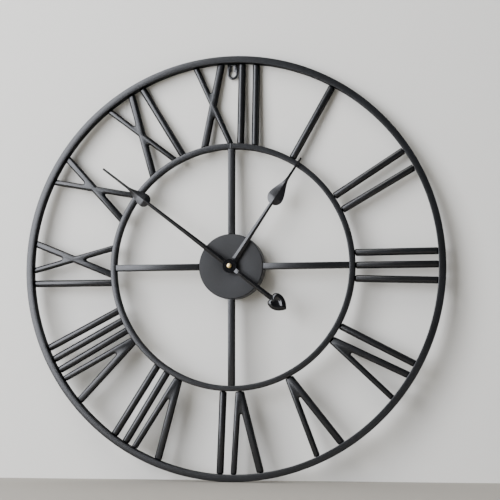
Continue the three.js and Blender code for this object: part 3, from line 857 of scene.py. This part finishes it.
def between(start, end, share):
    return start + (end - start) * share


def blade_half(s, shape):
    """Half-width of a blade: a tapered shaft, a round foot, a spade, then a needle."""
    if s <= shape["foot"]:
        return between(shape["shaft_foot"], shape["shaft_top"], s / shape["foot"])
    if s <= shape["wide"]:
        rise = (shape["wide"] - s) / (shape["wide"] - shape["foot"])
        return max(shape["shaft_top"], shape["half"] * sqrt(max(0, 1 - rise * rise)))
    if s <= shape["needle"]:
        fall = (s - shape["wide"]) / (shape["needle"] - shape["wide"])
        wave = 0.5 + 0.5 * cos(pi * fall ** 0.92)
        return between(shape["needle_half"], shape["half"], wave)
    run = (s - shape["needle"]) / (shape["tip"] - shape["needle"])
    return between(shape["needle_half"], shape["tip_half"], run)


def fold_share(s):
    rise = min(1, max(0, (abs(s) - FOLD_START) / (FOLD_FULL - FOLD_START)))
    fade = min(1, max(0, (FOLD_GONE - abs(s)) / (FOLD_GONE - FOLD_FADES)))
    return rise if s > 0 else min(rise, fade)


def folded_strip(name, stations, clockwise, flat, ridge, slope):
    """A folded sheet with a row of four corners per (place, half-width, pinch) along the hand."""
    bpy.ops.object.select_all(action="DESELECT")
    bpy.ops.mesh.primitive_grid_add(
        x_subdivisions=3, y_subdivisions=len(stations) - 1, size=1, location=(0, 0, 0),
    )
    strip = bpy.context.object
    strip.name = strip.data.name = name
    for i, vertex in enumerate(strip.data.vertices):
        row, column = divmod(i, 4)
        place, half, pinch = stations[row]
        share = fold_share(place)
        crest = min(RIDGE_HALF, 0.3 * half)
        u = (-half, -crest, crest, half)[column]
        x, z = dial_point(u, place, clockwise)
        fall = slope * pinch * (abs(u) - crest) * share
        vertex.co = (x, between(flat, ridge, share) + fall, z)
    edit(strip)
    bpy.ops.mesh.normals_make_consistent(inside=False)
    leave_edit()
    if strip.data.polygons[0].normal.dot(FRONT) < 0:
        edit(strip)
        bpy.ops.mesh.flip_normals()
        leave_edit()
    apply_modifier(strip, "SOLIDIFY", thickness=HAND_SHEET, offset=-1)
    round_edges(strip, 0.14 * MM, segments=2, angle=60)
    return strip


def hand_boss(name, radius, bore, front, back):
    section = [
        (bore, front), (radius - 0.15 * MM, front), (radius, front + 0.15 * MM), (radius, back),
        (bore, back),
    ]
    return spun(name, section, steps=72)

# %% [markdown]
# The minute hand carries its counterweight on a tail that widens away from the boss. The hour hand
# has no tail. Both taper from the boss to the spade, and end in a fine needle.

# %% Hands
MINUTE_ANGLE, HOUR_ANGLE = radians(307.55), radians(33.9)
minute_low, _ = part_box("minute_hand")
hour_low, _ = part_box("hour_hand")


def spread(start, end, steps):
    return [between(start, end, i / steps) for i in range(steps)]


def hand_stations(shape):
    foot, wide = shape["foot"], shape["wide"]
    rounding = [wide - (wide - foot) * cos(pi / 2 * i / 14) for i in range(14)]
    places = [
        *spread(0, FOLD_START, 2),
        *spread(FOLD_START, FOLD_FULL, 5),
        *spread(FOLD_FULL, foot, 8),
        *rounding,
        *spread(wide, shape["needle"], 22),
        *spread(shape["needle"], shape["tip"], 6),
        shape["tip"],
    ]
    return [(s, blade_half(s, shape), pinch_at(s, shape)) for s in places]


def pinch_at(s, shape):
    """How much steeper than the plain slope the fold is: shallow at the spade's widest place."""
    foot, wide, needle = shape["foot"], shape["wide"], shape["needle"]
    if s <= wide:
        share = max(0, (s - foot) / (wide - foot))
        return between(SHAFT_PINCH, shape["spade_pinch"], share)
    share = min(1, (s - wide) / (needle - wide))
    return between(shape["spade_pinch"], NEEDLE_PINCH, share ** 3)


def tail_stations(length, end_half, foot_half):
    places = [
        *spread(-length, -FOLD_GONE, 2),
        *spread(-FOLD_GONE, -FOLD_FADES, 4),
        *spread(-FOLD_FADES, -FOLD_FULL, 6),
        *spread(-FOLD_FULL, -FOLD_START, 5),
        *spread(-FOLD_START, 0, 2),
        0,
    ]
    return [(s, between(foot_half, end_half, -s / length), 1) for s in places]


MINUTE_SHAPE = {
    "foot": 147 * MM, "wide": 156 * MM, "needle": 188 * MM, "tip": 232 * MM,
    "half": 9.7 * MM, "shaft_foot": 3.9 * MM, "shaft_top": 2.3 * MM,
    "needle_half": 1.8 * MM, "tip_half": 1.5 * MM, "spade_pinch": 0.55,
}
HOUR_SHAPE = {
    "foot": 104 * MM, "wide": 115 * MM, "needle": 150 * MM, "tip": 181 * MM,
    "half": 11.5 * MM, "shaft_foot": 4.2 * MM, "shaft_top": 2.6 * MM,
    "needle_half": 1.9 * MM, "tip_half": 1.4 * MM, "spade_pinch": 0.28,
}


def finish_hand(name, blades, boss, body, node):
    whole = join(blades)
    whole.name = whole.data.name = name
    finish_piece(boss, GLOSS_LACQUER, body)
    return finish_piece(whole, LACQUER, body, [node], angle=12)


minute_flat = minute_low.y + 1.8 * MM
minute_fold = (MINUTE_ANGLE, minute_flat, minute_low.y, 0.34)
finish_hand(
    "minute_hand_folded",
    [
        folded_strip("minute_blade", hand_stations(MINUTE_SHAPE), *minute_fold),
        folded_strip("minute_tail", tail_stations(82 * MM, 3.8 * MM, 2.8 * MM), *minute_fold),
    ],
    hand_boss("minute_boss", 10 * MM, 1.75 * MM, minute_flat - 0.1 * MM, minute_flat + 1.2 * MM),
    "minute_train", "minute_hand",
)
finish_hand(
    "hour_hand_folded",
    [folded_strip(
        "hour_blade", hand_stations(HOUR_SHAPE), HOUR_ANGLE, hour_low.y, hour_low.y, 0.28,
    )],
    hand_boss("hour_boss", 9 * MM, 2.65 * MM, hour_low.y - 0.1 * MM, hour_low.y + 1.2 * MM),
    "hour_train", "hour_hand",
)

# %% [markdown]
# The counterweight is a small cast heart with a padded face. Its outline is a loop of corners on
# three curves, mirrored. The front face is then raised and drawn in towards the middle again and
# again, so the sides curve over to the top, and a last step dishes the middle, as a casting is.

# %% Counterweight
HEART_TIP, HEART_MIDDLE = -101.3, -84.5  # millimetres out along the minute hand
HEART_SIDE, DOME_STEPS = 1.2 * MM, 8
DISH_DEPTH, DISH_SHARE = 0.8 * MM, 0.72


def bezier(p0, p1, p2, p3, steps):
    points = []
    for i in range(steps):
        t = i / steps
        a, b, c, d = (1 - t) ** 3, 3 * t * (1 - t) ** 2, 3 * t * t * (1 - t), t ** 3
        points.append(tuple((a * p0[k] + b * p1[k] + c * p2[k] + d * p3[k]) * MM for k in (0, 1)))
    return points


def counterweight():
    low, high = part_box("counterweight")
    side = [
        *bezier((0, -78.5), (1.2, -75.2), (3.6, -73.6), (6, -73.8), 8),
        *bezier((6, -73.8), (9.8, -74.2), (11.8, -78.5), (11.8, -83), 9),
        *bezier((11.8, -83), (11.8, -90.5), (6.5, -97), (0, HEART_TIP), 12),
    ]
    tip = (0, HEART_TIP * MM)
    other = [(-u, v) for u, v in side[1:]]
    outline = side + [tip] + other[::-1]
    corners = [dial_point(u, v, MINUTE_ANGLE) for u, v in outline]
    rim_front = high.y - HEART_SIDE
    rise = rim_front - low.y
    heart = slab("heart_counterweight", corners, high.y, rim_front)
    middle = dial_point(0, HEART_MIDDLE * MM, MINUTE_ANGLE)
    edit(heart)
    select_where(heart, faces=lambda places: on_plane(places, rim_front))
    height, size = 0.0, 1.0
    for step in range(1, DOME_STEPS + 1):
        turn = pi / 2 * step / DOME_STEPS
        new_height, new_size = rise * sin(turn), 0.5 + 0.5 * cos(turn * 0.92)
        lift = {"value": (0, height - new_height, 0)}
        bpy.ops.mesh.extrude_region_move(TRANSFORM_OT_translate=lift)
        pivot = (middle[0], rim_front - new_height, middle[1])
        bpy.ops.transform.resize(value=(new_size / size,) * 3, center_override=pivot)
        height, size = new_height, new_size
    bpy.ops.mesh.extrude_region_move(TRANSFORM_OT_translate={"value": (0, DISH_DEPTH, 0)})
    pivot = (middle[0], low.y + DISH_DEPTH, middle[1])
    bpy.ops.transform.resize(value=(DISH_SHARE,) * 3, center_override=pivot)
    leave_edit()
    return finish_piece(
        heart, GLOSS_LACQUER, "minute_train", ["counterweight"], angle=40,
    )


counterweight()

# %% [markdown]
# The brass nut that ends the stack is turned from bar: a plain skirt, with a broad rounded edge
# round a nearly flat face.

# %% Minute nut
def minute_nut():
    low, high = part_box("minute_nut")
    section = [
        (0, low.y + 0.04 * MM),
        (2.3 * MM, low.y),
        (2.7 * MM, low.y + 0.12 * MM),
        (3.1 * MM, low.y + 0.5 * MM),
        (3.4 * MM, low.y + 1 * MM),
        (3.5 * MM, low.y + 1.5 * MM),
        (3.5 * MM, high.y - 0.3 * MM),
        (3.2 * MM, high.y),
        (1.8 * MM, high.y),
        (1.8 * MM, high.y - 2.5 * MM),
        (0, high.y - 2.5 * MM),
    ]
    nut = spun("brass_hand_nut", section, steps=48)
    return finish_piece(nut, BRASS, "minute_train", ["minute_nut"], angle=30)


minute_nut()

# %% [markdown]
# The pieces that stay hidden in the movement keep their CAD shapes, which are right, and get the
# finish of their real material. A copy with its triangles merged and its edges rounded stands for
# those that show from behind.

# %% Movement: materials and rounded shells
HIDDEN = {
    "centre_wheel": GEAR_PLASTIC, "third_wheel": GEAR_PLASTIC, "seconds_wheel": GEAR_PLASTIC,
    "intermediate_wheel": GEAR_PLASTIC, "minute_wheel": GEAR_PLASTIC, "hour_wheel": GEAR_PLASTIC,
    "rotor": FERRITE, "coil": WINDING, "circuit_board": BOARD_LACQUER, "stator": ZINC,
    "contact_positive": ZINC, "contact_negative": ZINC,
}
for node, material in HIDDEN.items():
    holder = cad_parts[node]
    holder.data.materials.clear()
    holder.data.materials.append(material)
print("gave", len(HIDDEN), "inner pieces their finish")


def rounded_copy(node, name, width, segments=2):
    bpy.ops.object.select_all(action="DESELECT")
    piece = bpy.data.objects.new(name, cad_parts[node].data.copy())
    bpy.context.scene.collection.objects.link(piece)
    edit(piece)
    bpy.ops.mesh.remove_doubles(threshold=0.01 * MM)
    bpy.ops.mesh.dissolve_limited(angle_limit=radians(2))
    leave_edit()
    round_edges(piece, width, segments)
    return piece


for node, width in (("case_front", 0.5 * MM), ("case_back", 0.5 * MM)):
    shell = rounded_copy(node, f"{node}_shell", width)
    finish_piece(shell, CASE_PLASTIC, "frame", [node])

# %% [markdown]
# The setting knob is turned with the fingers, so its rim is ribbed: each face round the rim is
# inset a little and pushed out.

# %% Setting knob and cell
def setting_knob():
    low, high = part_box("setting_knob")
    centre = (low + high) / 2
    centre.y = 0
    radius = (high.x - low.x) / 2
    inside = radius - 0.5 * MM
    section = [
        (0, low.y), (inside, low.y), (inside, high.y - 0.4 * MM), (inside - 0.4 * MM, high.y),
        (inside - 1.2 * MM, high.y), (inside - 1.5 * MM, high.y - 0.5 * MM), (0, high.y - 0.5 * MM),
    ]
    knob = spun("ribbed_knob", section, steps=48, centre=centre)
    edit(knob)
    rim = lambda places: (
        all(abs(hypot(p.x - centre.x, p.z - centre.z) - inside) < 0.05 * MM for p in places)
        and len(places) == 4
    )
    select_where(knob, faces=rim)
    bpy.ops.mesh.inset(thickness=0.06 * MM, depth=0.35 * MM, use_individual=True)
    leave_edit()
    return finish_piece(
        knob, CASE_PLASTIC, "setting_train", ["setting_knob"],
    )


def cell():
    low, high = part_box("battery")
    centre = (low + high) / 2
    radius = (high.z - low.z) / 2
    nub, nub_radius = 1.3 * MM, 2.75 * MM
    section = [
        (low.x, 0), (low.x, radius - 1.4 * MM), (low.x + 0.3 * MM, radius - 0.5 * MM),
        (low.x + 0.9 * MM, radius), (high.x - nub - 0.9 * MM, radius),
        (high.x - nub - 0.3 * MM, radius - 0.5 * MM), (high.x - nub, radius - 1.2 * MM),
        (high.x - nub, nub_radius), (high.x - 0.2 * MM, nub_radius),
        (high.x, nub_radius - 0.4 * MM), (high.x, 0),
    ]
    corners = [(x, centre.y, centre.z + r) for x, r in section]
    piece = corner_loop("sleeved_cell", corners, filled=False)
    edit(piece)
    bpy.ops.mesh.spin(steps=64, angle=2 * pi, center=centre, axis=(1, 0, 0))
    leave_edit()
    face_out(piece)
    return finish_piece(piece, CELL_SLEEVE, "battery", ["battery"])


setting_knob()
cell()

# %% [markdown]
# The stage is plain: a pale floor, and a pale wall that the clock leans against. The wall is seen
# from the front only, so that it doesn't hide the back of the clock. One large soft window stands
# at the left, and its light falls off to the right. A small soft light overhead fills the wall, and
# a weak one behind shows the back.

# %% Stage
def stage_material(name, colour, one_sided):
    material, tree = new_material(name)
    settings = {"Base Color": linear(colour), "Roughness": 0.85, "Specular IOR Level": 0.2}
    shader = add_node(tree, "ShaderNodeBsdfPrincipled", inputs=settings).outputs["BSDF"]
    if one_sided:
        back = add_node(tree, "ShaderNodeNewGeometry").outputs["Backfacing"]
        clear = add_node(tree, "ShaderNodeBsdfTransparent").outputs["BSDF"]
        mix = add_node(tree, "ShaderNodeMixShader", {"Fac": back})
        tree.links.new(shader, mix.inputs[1])
        tree.links.new(clear, mix.inputs[2])
        shader = mix.outputs["Shader"]
    add_node(tree, "ShaderNodeOutputMaterial", {"Surface": shader})
    return material


FLOOR_Z = ring_low.z - 0.3 * MM
WALL_LEAN = radians(3.2)
bpy.ops.object.select_all(action="DESELECT")
bpy.ops.mesh.primitive_plane_add(size=12, location=(0, 0, FLOOR_Z))
floor = bpy.context.object
floor.name = "floor"
floor.data.materials.append(stage_material("pale_floor", "#a8a39a", False))
bpy.ops.mesh.primitive_plane_add(size=12, location=(0, ring_high.y + 1 * MM, ring_high.z))
wall = bpy.context.object
wall.name = "wall"
wall.rotation_euler = (radians(90) + WALL_LEAN, 0, 0)
wall.data.materials.append(stage_material("pale_wall", "#eae8e1", True))
print("floor at", round(FLOOR_Z, 4))

# %% Lights
def area_light(name, place, target, width, height, watts, colour="#ffffff"):
    data = bpy.data.lights.new(name, "AREA")
    data.shape = "RECTANGLE"
    data.size, data.size_y = width, height
    data.energy = watts
    data.color = linear(colour)[:3]
    lamp = bpy.data.objects.new(name, data)
    bpy.context.scene.collection.objects.link(lamp)
    lamp.location = place
    lamp.rotation_mode = "QUATERNION"
    lamp.rotation_quaternion = (Vector(target) - lamp.location).to_track_quat("-Z", "Y")
    return lamp


area_light("window", CENTRE + Vector((-1.93, -2.42, 0.7)), CENTRE, 2.35, 2.1, 162, "#f3f6ff")
area_light("overhead", CENTRE + Vector((-1.0, -1.7, 2.4)), CENTRE, 1.4, 1.4, 52)
area_light("fill_behind", CENTRE + Vector((1.2, 2.5, 0.6)), CENTRE, 1.5, 1.5, 75)
world = bpy.data.worlds.new("studio")
bpy.context.scene.world = world
world.use_nodes = True
background = world.node_tree.nodes["Background"]
background.inputs["Color"].default_value = linear("#d4d6da")
background.inputs["Strength"].default_value = 0.15
print("lights set")
